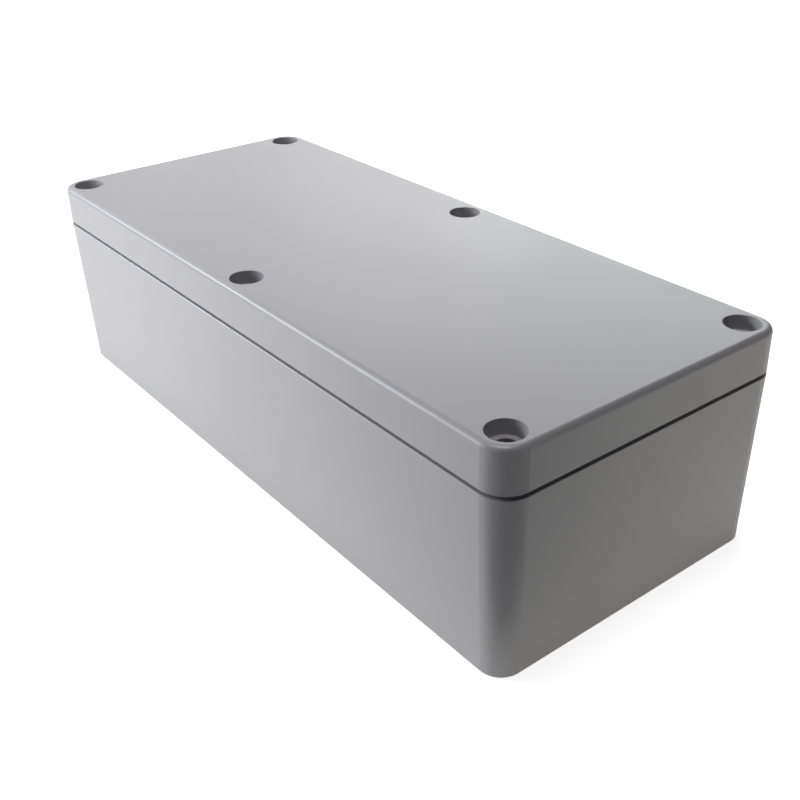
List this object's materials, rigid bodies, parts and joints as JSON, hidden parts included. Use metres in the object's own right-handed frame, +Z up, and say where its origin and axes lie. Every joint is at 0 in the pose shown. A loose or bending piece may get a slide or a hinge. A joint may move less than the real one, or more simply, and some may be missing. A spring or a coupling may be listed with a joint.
{
  "type": "polycarbonate enclosure",
  "caption": "Long light grey moulded box with a deep base and a screwed, gasketed lid that keeps electronics dry.",
  "frame": {"origin": "centre of the underside", "axes": "+X along the length, +Y along the width, +Z up through the lid"},
  "size_m": [0.24, 0.1, 0.068],
  "materials": {
    "housing": "light grey moulded polycarbonate with a fine spark-eroded texture",
    "seal": "soft dark sealing cord",
    "inserts": "turned brass"
  },
  "bodies": {
    "root": {"base": "housing", "lid": "housing", "gasket": "seal", "insert_1": "inserts", "insert_2": "inserts", "insert_3": "inserts", "insert_4": "inserts", "insert_5": "inserts", "insert_6": "inserts"}
  },
  "joints": []
}
